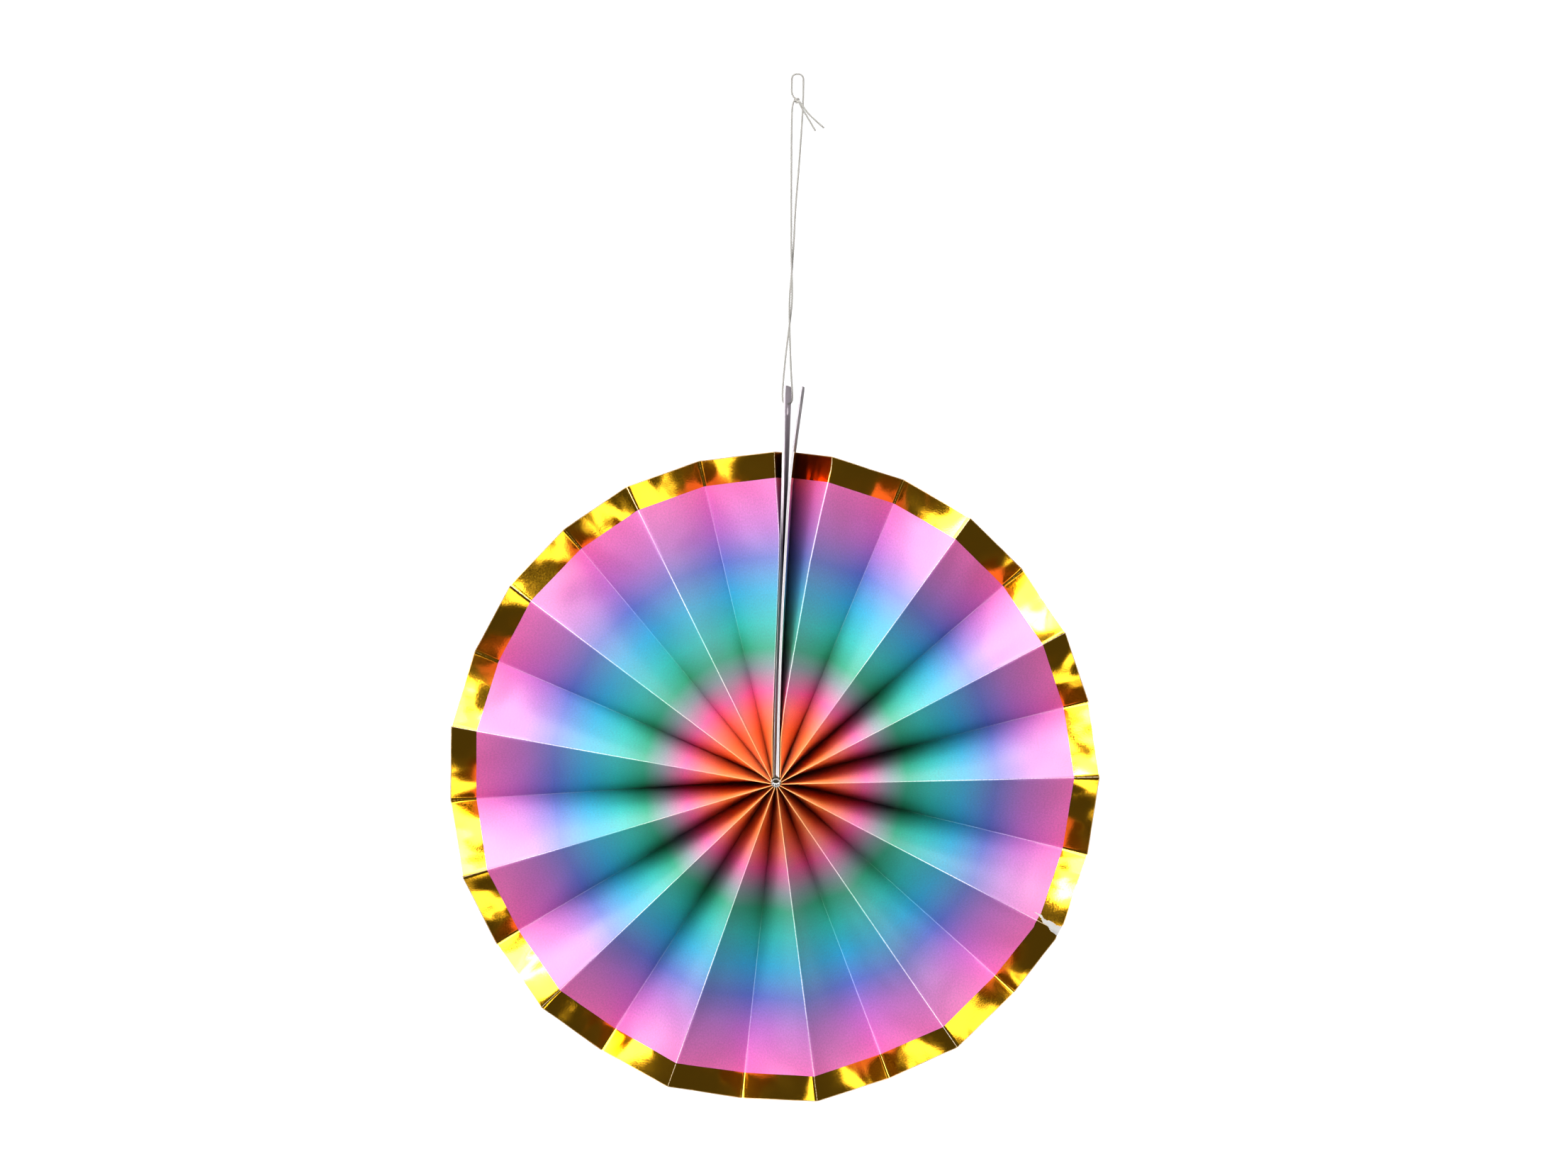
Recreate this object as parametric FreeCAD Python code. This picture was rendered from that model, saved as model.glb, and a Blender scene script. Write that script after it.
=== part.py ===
import FreeCAD, Part
import math
import os

# A paper fan rosette: one strip of printed paper folded into thirty panels and opened into a full
# disc, with a card glued on each end of the strip. The two cards are stuck to each other where
# the ends of the fan meet, and stand out above the rim as a tab. A thread gathers the inner edge
# round the hub, and a loop of string through the left card's hole hangs the fan up.
# X runs to the right, Y to the back and Z up. The disc stands in the XZ plane and its printed
# side faces -Y. Everything is drawn from the hub, then moved so that the origin is where a hook
# bears on the string's loop.

# ---- Paper ----
rim_radius = 101.0          # from the hub to the paper's outer edge
rim_shift_x = -0.8          # the outer edge is not quite centred on the hub
rim_shift_z = 1.4
hub_radius = 1.6            # from the hub to the paper's inner edge
pleat_width = 27.0          # from one fold to the next, the same on every panel
paper_thickness = 0.22
rim_forward = 4.4           # how far the pleats lean to the front at the rim
# How the hand-opened ridges stand at the rim, in degrees clockwise from the top.
ridge_angles = [9.8, 36.3, 62.6, 89.0, 117.8, 145.6, 172.6,
                199.6, 226.2, 253.2, 279.8, 306.6, 333.2, 359.7]
hub_first_angle = 39.0      # the first and last ridge at the inner edge, beside the two cards
hub_last_angle = 325.0
# The ridges next to the cards follow the cards before they bend away: (height, sideways place).
first_ridge_path = [(1.6, 1.3), (13.5, 1.5), (23.5, 2.6), (37.2, 4.9), (50.8, 7.3),
                    (69.0, 10.5), (85.0, 13.9), (99.6, 17.3)]
last_ridge_path = [(1.6, -1.1), (14.0, -1.15), (24.0, -0.85), (37.5, -0.35), (51.0, 0.2),
                   (65.0, 0.75), (76.0, 1.05), (85.0, 0.5), (93.5, -0.1), (101.0, -0.45)]
station_count = 25          # places along a fold where the shape of the sheet and the cards is worked out

# ---- Worn ridge ----
worn_ridge = 5              # counted clockwise from the cards
worn_corner = 0.4           # how much of this ridge's corner is rubbed off at the rim

# ---- Cards ----
card_thickness = 0.5
cards_apart = 0.17          # between the two cards at their inner ends
card_width = 25.0           # from the front edge to the back edge
card_start = 2.0            # from the hub to the cards' inner ends
card_reach = 121.0          # a card's length
card_corner = 4.0
cards_front = 13.0          # how far in front of the hub the right card's front edge stands
# Each card's place at its inner end, how it leans to the right on the way up as (height, degrees),
# how far to the right it has turned over a card's width as (height, distance), and how far its
# front edge lies behind the right card's.
left_card = (-card_thickness / 2,
             [(2.0, 0.3), (30.0, 1.8), (50.0, 2.3), (76.0, 1.3), (125.0, 0.5)],
             [(2.0, 0.0), (50.0, 0.6), (90.0, 1.3), (125.0, 2.0)], 1.8)
right_card = (card_thickness / 2 + cards_apart,
              [(2.0, 0.3), (30.0, 1.8), (60.0, 3.0), (86.0, 3.2), (102.0, 7.6), (125.0, 8.0)],
              [(2.0, 0.0), (50.0, 0.6), (90.0, 0.8), (125.0, 0.9)], 0.0)
hole_radius = 2.0
hole_height = 115.7         # from the hub to the holes
hole_depth = 13.0           # from the right card's front edge to the holes
glue_gap = 0.05             # between a card and the paper panel glued on it

# ---- Adhesive pad between the cards ----
pad_start = 10.0
pad_end = 44.0
pad_front = 4.0             # behind the right card's front edge
pad_width = 18.0
pad_clearance = 0.03

# ---- Hub thread ----
thread_radius = 0.28
thread_ring_radius = 1.2
thread_recess = 0.7         # how far the ring lies behind the tips of the ridges
thread_knot_radius = 0.45
thread_knot_angle = 42.0

# ---- String ----
string_diameter = 0.65
string_in_hole = 0.05       # between the string and the top of the hole that it bears on
knot_radius = 1.05
knot_centre = (6.45, -0.35, 211.9)
loop_left = 4.93            # the two sides of the loop and the middle of the string at its top
loop_right = 8.55
loop_top = 220.15


# ---- Curves along the folds and the cards ----
def between(table, place):
    """The value at a place in a list of (place, value), on straight lines between them."""
    low = table[0]
    for high in table[1:]:
        if place <= high[0]:
            break
        low = high
    share = (place - low[0]) / (high[0] - low[0]) if high[0] > low[0] else 0.0
    return low[1] + share * (high[1] - low[1])


def card_x(card, height):
    """How far right of the hub a card's front edge is at a height."""
    x, leans = card[:2]
    for (low, lean_low), (high, lean_high) in zip(leans, leans[1:]):
        top = min(height, high)
        if top <= low and low > leans[0][0]:
            break
        lean_top = lean_low + (lean_high - lean_low) * (top - low) / (high - low)
        x += (top - low) * math.tan(math.radians((lean_low + lean_top) / 2))
    return x


def card_point(card, height, depth, offset):
    """A place depth behind the cards' front and offset to the right of a card's middle surface."""
    x = card_x(card, height) + between(card[2], height) * depth / card_width + offset
    return FreeCAD.Vector(x, depth - cards_front, height)


def card_top(card):
    """The height that a card reaches, from its length along its own curve."""
    step = 0.25
    height = card_start
    length = 0.0
    while length < card_reach:
        length += step / math.cos(math.radians(between(card[1], height)))
        height += step
    return height


def card_normal(card, height, depth):
    """The direction square to a card's surface, pointing right."""
    up = card_point(card, height + 1, depth, 0) - card_point(card, height - 1, depth, 0)
    back = card_point(card, height, depth + 1, 0) - card_point(card, height, depth - 1, 0)
    return back.cross(up).normalize()


def rim_point(angle):
    """Where a fold at this angle reaches the outer edge, as (x, z)."""
    turn = math.radians(angle)
    reach = rim_radius + rim_shift_x * math.sin(turn) + rim_shift_z * math.cos(turn)
    return reach * math.sin(turn), reach * math.cos(turn)


def pleat_depth(chord):
    """How far apart front to back two folds lie, whose distance in the disc's plane is chord."""
    return math.sqrt(pleat_width ** 2 - chord ** 2)


def fold_angles():
    """The angle at the rim of each regular fold, ridge and valley by turns, first to last ridge."""
    angles = []
    for angle, following in zip(ridge_angles, ridge_angles[1:]):
        angles += [angle, (angle + following) / 2]
    return angles + [ridge_angles[-1]]


def panel_angle():
    """The mean angle between a ridge and the valley next to it, as seen from the front."""
    return math.radians(ridge_angles[-1] - ridge_angles[0]) / (2 * len(ridge_angles) - 2)


def regular_fold(share, angle, hub_angle, is_ridge):
    """A place on a straight fold, share of the way from the hub to the rim."""
    turn = math.radians(hub_angle)
    x_hub, z_hub = hub_radius * math.sin(turn), hub_radius * math.cos(turn)
    x_rim, z_rim = rim_point(angle)
    x = x_hub + share * (x_rim - x_hub)
    z = z_hub + share * (z_rim - z_hub)
    distance = math.hypot(x, z)
    depth = pleat_depth(2 * distance * math.sin(panel_angle() / 2))
    middle = -rim_forward * (distance / rim_radius) ** 2
    return FreeCAD.Vector(x, middle + (-depth if is_ridge else depth) / 2, z)


def sheet_lines():
    """Each line across the sheet, clockwise from the right card: its free edge, the folds in
    turn, and the other free edge. A line is its places from the hub to the rim."""
    shares = [n / (station_count - 1) for n in range(station_count)]
    heights = [hub_radius + share * (rim_point(0)[1] - hub_radius) for share in shares]
    beside = (card_thickness + paper_thickness) / 2 + glue_gap
    first_edge = [card_point(right_card, height, right_card[3], beside) for height in heights]
    first_valley = [card_point(right_card, height, pleat_width, beside) for height in heights]
    last_valley = [card_point(left_card, height, pleat_width, -beside) for height in heights]
    last_edge = [card_point(left_card, height, left_card[3], -beside) for height in heights]
    angles = fold_angles()
    hub_step = (hub_last_angle - hub_first_angle) / (len(angles) - 1)
    regular = []
    for number, angle in enumerate(angles):
        hub_angle = hub_first_angle + number * hub_step
        fold = [regular_fold(share, angle, hub_angle, number % 2 == 0) for share in shares]
        regular.append(fold)
    regular[0] = [bent_ridge(first_ridge_path, height, valley)
                  for height, valley in zip(heights, first_valley)]
    regular[-1] = [bent_ridge(last_ridge_path, height, valley)
                   for height, valley in zip(heights, last_valley)]
    return [first_edge, first_valley] + regular + [last_valley, last_edge]


def bent_ridge(path, height, valley):
    """A place on a ridge beside the cards, a pleat's width from the valley on the card."""
    x = between(path, height)
    z = math.sqrt(max(height ** 2 - x ** 2, hub_radius ** 2)) if abs(x) > hub_radius else height
    chord = math.hypot(x - valley.x, z - valley.z)
    return FreeCAD.Vector(x, valley.y - pleat_depth(chord), z)


# ---- The folded sheet ----
def curve(points):
    """A smooth edge through the places along a fold."""
    line = Part.BSplineCurve()
    shares = [n / (len(points) - 1) for n in range(len(points))]
    line.interpolate(Points=points, Parameters=shares)
    return line.toShape()


def panel_normals(fold, other, forward):
    """At each place on fold, the printed side's direction on the panel between it and other."""
    normals = []
    for n, point in enumerate(fold):
        along = fold[min(n + 1, len(fold) - 1)] - fold[max(n - 1, 0)]
        across = other[n] - point if forward else point - other[n]
        normals.append(across.cross(along).normalize())
    return normals


def fold_corners(lines, number):
    """The sheet's corners on both sides of one line, as front left, front right, back left and
    back right. The outside of a fold is as wide as the paper, and its inside is sharp."""
    line = lines[number]
    half = paper_thickness / 2
    left = panel_normals(line, lines[number - 1], False) if number > 0 else None
    right = panel_normals(line, lines[number + 1], True) if number < len(lines) - 1 else None
    if left is None or right is None:
        normals = left or right
        front = [point + normal * half for point, normal in zip(line, normals)]
        back = [point - normal * half for point, normal in zip(line, normals)]
        return front, front, back, back
    front_left = [point + normal * half for point, normal in zip(line, left)]
    front_right = [point + normal * half for point, normal in zip(line, right)]
    back_left = [point - normal * half for point, normal in zip(line, left)]
    back_right = [point - normal * half for point, normal in zip(line, right)]
    inner = [(a + b) * (half / (1 + a.dot(b))) for a, b in zip(left, right)]
    if number % 2 == 0:
        back = [point - way for point, way in zip(line, inner)]
        return front_left, front_right, back, back
    front = [point + way for point, way in zip(line, inner)]
    return front, front, back_left, back_right


def strip(first, second):
    """The face between two rows of places."""
    return Part.makeRuledSurface(curve(first), curve(second))


def end_face(a, b, c, d):
    """The face that closes a panel's end, between its front edge a-b and its back edge d-c."""
    return Part.makeRuledSurface(Part.LineSegment(a, b).toShape(), Part.LineSegment(d, c).toShape())


def triangle(a, b, c):
    return Part.Face(Part.makePolygon([a, b, c, a]))


def make_sheet():
    lines = sheet_lines()
    corners = [fold_corners(lines, number) for number in range(len(lines))]
    faces = []
    for (_, front_a, _, back_a), (front_b, _, back_b, _) in zip(corners, corners[1:]):
        faces.append(strip(front_a, front_b))
        faces.append(strip(back_a, back_b))
        for end in (0, -1):
            faces.append(end_face(front_a[end], front_b[end], back_b[end], back_a[end]))
    for number, (front_left, front_right, back_left, back_right) in enumerate(corners):
        if number in (0, len(corners) - 1):
            faces.append(strip(front_left, back_left))
            continue
        outer = (front_left, front_right) if number % 2 == 0 else (back_left, back_right)
        inner = back_left if number % 2 == 0 else front_left
        faces.append(strip(*outer))
        for end in (0, -1):
            faces.append(triangle(outer[0][end], outer[1][end], inner[end]))
    shell = Part.makeShell(faces)
    shell.sewShape()
    sheet = Part.makeSolid(shell)
    if sheet.Volume < 0:
        sheet.reverse()
    return sheet.cut(worn_off(lines[2 * worn_ridge][-1]))


def worn_off(tip):
    """The block that the worn ridge lacks beyond its blunted corner at the rim."""
    out = FreeCAD.Vector(tip.x, 0, tip.z).normalize()
    block = Part.makeBox(pleat_width, pleat_width, pleat_width)
    block.translate(FreeCAD.Vector(-pleat_width / 2, -pleat_width / 2, 0))
    block.rotate(FreeCAD.Vector(), FreeCAD.Vector(0, 1, 0), math.degrees(math.atan2(out.x, out.z)))
    block.translate(tip - out * worn_corner)
    return block


# ---- Cards, adhesive and hub thread ----
def plate(card_left, offset_left, card_right, offset_right, start, end, front, back):
    """A thin plate between two surfaces beside the cards, from front to back behind the edge."""
    heights = [start + (end - start) * n / (station_count - 1) for n in range(station_count)]

    def row(card, offset, depth):
        return [card_point(card, height, depth, offset) for height in heights]

    left_front = row(card_left, offset_left, front)
    left_back = row(card_left, offset_left, back)
    right_front = row(card_right, offset_right, front)
    right_back = row(card_right, offset_right, back)
    faces = [strip(left_front, left_back), strip(right_front, right_back)]
    faces += [strip(left_front, right_front), strip(left_back, right_back)]
    for end_number in (0, -1):
        faces.append(end_face(left_front[end_number], left_back[end_number],
                              right_back[end_number], right_front[end_number]))
    shell = Part.makeShell(faces)
    shell.sewShape()
    solid = Part.makeSolid(shell)
    if solid.Volume < 0:
        solid.reverse()
    return solid


def rounded_outline(top, front):
    """A thick slab with a card's outline seen from the side, rounded at the tab's corners."""
    back = front + card_width
    reach = 20.0
    box = Part.makeBox(2 * reach, card_width + 2, top, FreeCAD.Vector(-reach, front - 1, 0))
    for edge_y, inward in ((front, 1), (back, -1)):
        corner_y = edge_y + inward * card_corner
        corner = Part.makeBox(2 * reach, card_corner + 1, card_corner + 1,
                              FreeCAD.Vector(-reach, min(edge_y - inward, corner_y), top - card_corner))
        rod = Part.makeCylinder(card_corner, 2 * reach,
                                FreeCAD.Vector(-reach, corner_y, top - card_corner),
                                FreeCAD.Vector(1, 0, 0))
        box = box.cut(corner.cut(rod))
    return box


def hole_cutter(card):
    centre = card_point(card, hole_height, hole_depth, 0)
    way = card_normal(card, hole_height, hole_depth)
    length = 3.0
    return Part.makeCylinder(hole_radius, length, centre - way * (length / 2), way)


def make_card(card):
    top = card_top(card)
    half = card_thickness / 2
    front = card[3]
    body = plate(card, -half, card, half, card_start, top, front, front + card_width)
    return body.common(rounded_outline(top, front - cards_front)).cut(hole_cutter(card))


def make_pad():
    inset = card_thickness / 2 + pad_clearance
    return plate(left_card, inset, right_card, -inset, pad_start, pad_end,
                 pad_front, pad_front + pad_width)


def make_hub_thread():
    ring_y = thread_recess - pleat_depth(0) / 2
    centre = FreeCAD.Vector(0, ring_y, 0)
    ring = Part.makeTorus(thread_ring_radius, thread_radius, centre, FreeCAD.Vector(0, 1, 0))
    turn = math.radians(thread_knot_angle)
    place = FreeCAD.Vector(math.sin(turn), 0, math.cos(turn)) * thread_ring_radius + centre
    return ring.fuse(Part.makeSphere(thread_knot_radius, place - FreeCAD.Vector(0, thread_radius, 0)))


# ---- String ----
def string_routes():
    """Both halves of the string, from the hole in the left card to the tips of its tails."""
    hole = card_point(left_card, hole_height, hole_depth, 0)
    bearing = hole_height + hole_radius - string_in_hole - string_diameter / 2
    start = (hole.x, 0.0, bearing)
    left = [start, (2.35, 0.0, 117.45), (1.95, 0.0, 119.4), (2.2, 0.05, 124.0),
            (2.95, 0.25, 132.0), (4.0, 0.45, 140.4), (5.1, 0.1, 149.0), (4.95, -0.45, 157.8),
            (4.7, -0.2, 167.0), (4.85, -0.15, 206.0), (5.1, -0.2, 210.4), (5.7, -0.3, 211.9),
            (6.6, -0.45, 212.2), (7.3, -0.7, 211.1), (8.4, -1.0, 208.8), (9.75, -1.05, 206.8),
            (12.26, -0.9, 202.4)]
    right = [start, (4.8, 0.0, 117.45), (5.2, 0.0, 119.6), (4.9, -0.05, 123.6),
             (4.5, -0.25, 131.5), (4.25, -0.45, 140.8), (4.1, -0.1, 149.4), (4.9, 0.45, 158.0),
             (5.6, 0.2, 168.0), (6.0, 0.1, 178.0), (7.1, 0.0, 190.5), (7.95, 0.0, 202.5),
             (8.45, 0.0, 211.0), (loop_right, 0.0, 216.5), (loop_right, 0.0, loop_top),
             (loop_left, 0.0, loop_top), (loop_left, 0.0, 216.5), (4.85, -0.05, 214.2),
             (5.5, -0.15, 212.9), (6.4, -0.3, 212.4), (7.4, -0.65, 211.6), (8.85, -1.0, 209.4),
             (10.3, -1.05, 207.3), (14.95, -0.9, 203.3)]
    return left, right


def tube(name, route, diameter):
    """A round cord along a route: straight runs joined by tangent arcs as large as fit."""
    points = [FreeCAD.Vector(*point) for point in route]
    edges = []
    radii = []
    at = points[0]
    for before, corner, after in zip(points, points[1:], points[2:]):
        to_before = before - corner
        to_after = after - corner
        half_turn = (math.pi - to_before.getAngle(to_after)) / 2
        reach = 0.45 * min(to_before.Length, to_after.Length)
        radii.append(reach / math.tan(half_turn))
        start = corner + to_before.normalize() * reach
        end = corner + to_after.normalize() * reach
        inward = (to_before + to_after).normalize()
        centre_distance = radii[-1] / math.cos(half_turn)
        middle = corner + inward * (centre_distance - radii[-1])
        edges.append(Part.LineSegment(at, start).toShape())
        edges.append(Part.Arc(start, middle, end).toShape())
        at = end
    edges.append(Part.LineSegment(at, points[-1]).toShape())
    path = Part.Wire(edges)
    circle = Part.Circle(points[0], points[1] - points[0], diameter / 2)
    solid = path.makePipeShell([Part.Wire([circle.toShape()])], True, False)
    expected = math.pi * diameter ** 2 / 4 * path.Length
    print(name, "length", round(path.Length, 1), "volume", round(solid.Volume, 2),
          "section x length", round(expected, 2))
    print(name, "arc radii", [round(radius, 1) for radius in radii])
    return solid


def make_string():
    left, right = string_routes()
    knot = Part.makeSphere(knot_radius, FreeCAD.Vector(*knot_centre))
    left_half = tube("left half", left, string_diameter)
    right_half = tube("right half", right, string_diameter)
    return left_half.fuse([right_half, knot])


# ---- Build ----
def make_nodes():
    return {
        "pleated_disc": make_sheet(),
        "end_card_left": make_card(left_card),
        "end_card_right": make_card(right_card),
        "card_adhesive": make_pad(),
        "hub_thread": make_hub_thread(),
        "hanging_string": make_string(),
    }


def main():
    loop_middle = (loop_left + loop_right) / 2
    hook = FreeCAD.Vector(loop_middle, 0, loop_top - string_diameter / 2)
    os.makedirs("parts", exist_ok=True)
    for name, shape in make_nodes().items():
        shape.translate(-hook)
        box = shape.BoundBox
        print(name, "valid", shape.isValid(), "solids", len(shape.Solids), "volume",
              round(shape.Volume, 2), "box", [round(value, 2) for value in (
                  box.XMin, box.YMin, box.ZMin, box.XMax, box.YMax, box.ZMax)])
        shape.exportStep("parts/" + name + ".step")
    for name, card in (("left", left_card), ("right", right_card)):
        centre = card_point(card, hole_height, hole_depth, 0) - hook
        way = card_normal(card, hole_height, hole_depth)
        print(name, "hole centre", [round(value, 3) for value in centre],
              "axis", [round(value, 5) for value in way], "top", round(card_top(card), 2))


main()
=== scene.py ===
import math

import bmesh
import bpy
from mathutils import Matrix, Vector


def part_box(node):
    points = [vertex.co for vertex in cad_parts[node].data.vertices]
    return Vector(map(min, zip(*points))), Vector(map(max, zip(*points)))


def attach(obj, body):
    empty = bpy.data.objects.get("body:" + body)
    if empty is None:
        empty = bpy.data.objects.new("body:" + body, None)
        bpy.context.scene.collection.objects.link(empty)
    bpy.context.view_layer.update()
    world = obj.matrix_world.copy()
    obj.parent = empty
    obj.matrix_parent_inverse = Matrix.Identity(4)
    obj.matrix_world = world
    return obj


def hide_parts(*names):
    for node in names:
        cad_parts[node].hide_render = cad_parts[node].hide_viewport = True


# A paper fan rosette hung by a loop of string. Its printed paper, hub thread and string are made
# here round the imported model, and the two end cards and the adhesive between them get finishes.
# Sizes are in millimetres where a name ends in _mm and in metres elsewhere.

MM = 0.001

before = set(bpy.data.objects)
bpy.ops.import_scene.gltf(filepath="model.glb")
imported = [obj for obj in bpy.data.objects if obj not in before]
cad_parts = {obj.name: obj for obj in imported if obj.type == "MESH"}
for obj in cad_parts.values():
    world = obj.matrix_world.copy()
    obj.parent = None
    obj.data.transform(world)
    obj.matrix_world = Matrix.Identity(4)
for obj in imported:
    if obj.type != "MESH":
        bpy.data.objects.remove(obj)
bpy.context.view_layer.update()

thread_low, thread_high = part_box("hub_thread")
card_low, card_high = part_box("end_card_left")
right_card_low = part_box("end_card_right")[0]
hub = Vector(((thread_low.x + thread_high.x) / 2, 0.0, (thread_low.z + thread_high.z) / 2))


# ---- Helpers ----
def linear(hex_colour):
    """An sRGB hex colour as linear red, green, blue and alpha."""
    values = [int(hex_colour[n:n + 2], 16) / 255 for n in (0, 2, 4)]
    return [v / 12.92 if v <= 0.04045 else ((v + 0.055) / 1.055) ** 2.4 for v in values] + [1.0]


def add_node(tree, kind, inputs=None, **settings):
    """Adds a node with its settings, and gives its inputs their values and links. A node given as
    an input stands for its first output."""
    node = tree.nodes.new(kind)
    for name, value in settings.items():
        setattr(node, name, value)
    for socket, value in (inputs or {}).items():
        if isinstance(value, bpy.types.Node):
            value = value.outputs[0]
        if isinstance(value, bpy.types.NodeSocket):
            tree.links.new(value, node.inputs[socket])
        else:
            node.inputs[socket].default_value = value
    return node


def place(mm_point):
    """A point in millimetres from the hub, as a place in the row frame."""
    return hub + Vector(mm_point) * MM


def ring_places(radius_mm, y_mm, count):
    """Places round a circle that faces the front, clockwise from its top."""
    turns = [math.tau * n / count for n in range(count)]
    return [place((radius_mm * math.sin(turn), y_mm, radius_mm * math.cos(turn))) for turn in turns]


def new_object(name, data):
    made = bpy.data.objects.new(name, data)
    bpy.context.scene.collection.objects.link(made)
    return made


def made_real(source, name):
    """A plain mesh object of what a source object's modifiers make. The source is removed."""
    shown = source.evaluated_get(bpy.context.evaluated_depsgraph_get())
    mesh = bpy.data.meshes.new_from_object(shown, preserve_all_data_layers=True,
                                           depsgraph=bpy.context.evaluated_depsgraph_get())
    bpy.data.objects.remove(source)
    mesh.name = name
    return new_object(name, mesh)


def with_tree(source, tree, values):
    """Puts a geometry node tree on an object, with its named inputs set."""
    modifier = source.modifiers.new(tree.name, "NODES")
    modifier.node_group = tree
    for item in tree.interface.items_tree:
        if item.item_type == "SOCKET" and item.in_out == "INPUT" and item.name in values:
            modifier[item.identifier] = values[item.name]
    return source


def new_tree(name, inputs):
    """A geometry node tree with a geometry input, its named inputs and a geometry output. A whole
    number, a float and None each make an input of their own kind, None a material."""
    kinds = {int: "NodeSocketInt", float: "NodeSocketFloat", type(None): "NodeSocketMaterial"}
    tree = bpy.data.node_groups.new(name, "GeometryNodeTree")
    tree.interface.new_socket("Geometry", in_out="INPUT", socket_type="NodeSocketGeometry")
    for label, value in inputs.items():
        socket = tree.interface.new_socket(label, in_out="INPUT", socket_type=kinds[type(value)])
        if value is not None:
            socket.default_value = value
    tree.interface.new_socket("Geometry", in_out="OUTPUT", socket_type="NodeSocketGeometry")
    return tree


def new_material(name):
    material = bpy.data.materials.new(name)
    material.use_nodes = True
    material.node_tree.nodes.clear()
    return material


# ---- Camera ----
camera_data = bpy.data.cameras.new("studio_camera")
camera_data.sensor_width = 36.0
camera_data.lens = 129.0
camera_data.shift_y = -0.049
camera_data.clip_start = 0.05
camera_data.clip_end = 50.0
camera = new_object("studio_camera", camera_data)
camera.location = place((2.5, -1750.0, 84.0))
camera.rotation_euler = (math.radians(90), 0.0, 0.0)
bpy.context.scene.camera = camera


# ---- String: two halves of one cotton string, knotted into a loop that hangs on a hook ----
string_start_mm = (3.416, 0.0, 117.325)
left_route_mm = [string_start_mm, (2.35, 0.0, 117.45), (1.95, 0.0, 119.4), (2.2, 0.05, 124.0),
                 (2.95, 0.25, 132.0), (4.0, 0.45, 140.4), (5.1, 0.1, 149.0), (4.95, -0.45, 157.8),
                 (4.7, -0.2, 167.0), (4.85, -0.15, 206.0), (5.1, -0.2, 210.4), (5.7, -0.3, 211.9),
                 (6.6, -0.45, 212.2), (7.3, -0.7, 211.1), (8.4, -1.0, 208.8), (9.75, -1.05, 206.8),
                 (12.26, -0.9, 202.4)]
right_route_mm = [string_start_mm, (4.8, 0.0, 117.45), (5.2, 0.0, 119.6), (4.9, -0.05, 123.6),
                  (4.5, -0.25, 131.5), (4.25, -0.45, 140.8), (4.1, -0.1, 149.4), (4.9, 0.45, 158.0),
                  (5.6, 0.2, 168.0), (6.0, 0.1, 178.0), (7.1, 0.0, 190.5), (7.95, 0.0, 202.5),
                  (8.45, 0.0, 211.0), (8.55, 0.0, 216.5), (8.55, 0.0, 220.15), (4.93, 0.0, 220.15),
                  (4.93, 0.0, 216.5), (4.85, -0.05, 214.2), (5.5, -0.15, 212.9), (6.4, -0.3, 212.4),
                  (7.4, -0.65, 211.6), (8.85, -1.0, 209.4), (10.3, -1.05, 207.3),
                  (14.95, -0.9, 203.3)]
knot_centre_mm = (6.45, -0.35, 211.9)


def smooth_line(name, route):
    """The places along a smooth line whose control points are the route's."""
    curve = bpy.data.curves.new(name, "CURVE")
    curve.dimensions = "3D"
    curve.resolution_u = 12
    spline = curve.splines.new("NURBS")
    spline.points.add(len(route) - 1)
    for point, at in zip(spline.points, route):
        point.co = (*at, 1.0)
    spline.order_u = 3
    spline.use_endpoint_u = True
    holder = new_object(name, curve)
    bpy.context.view_layer.update()
    line = bpy.data.meshes.new_from_object(holder)
    places = [vertex.co.copy() for vertex in line.vertices]
    bpy.data.objects.remove(holder)
    return places


def line_object(name, places, closed=False):
    """A mesh that is only a chain of edges through the places."""
    edges = [(n, n + 1) for n in range(len(places) - 1)]
    if closed:
        edges.append((len(places) - 1, 0))
    mesh = bpy.data.meshes.new(name)
    mesh.from_pydata([tuple(at) for at in places], edges, [])
    return new_object(name, mesh)


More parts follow.
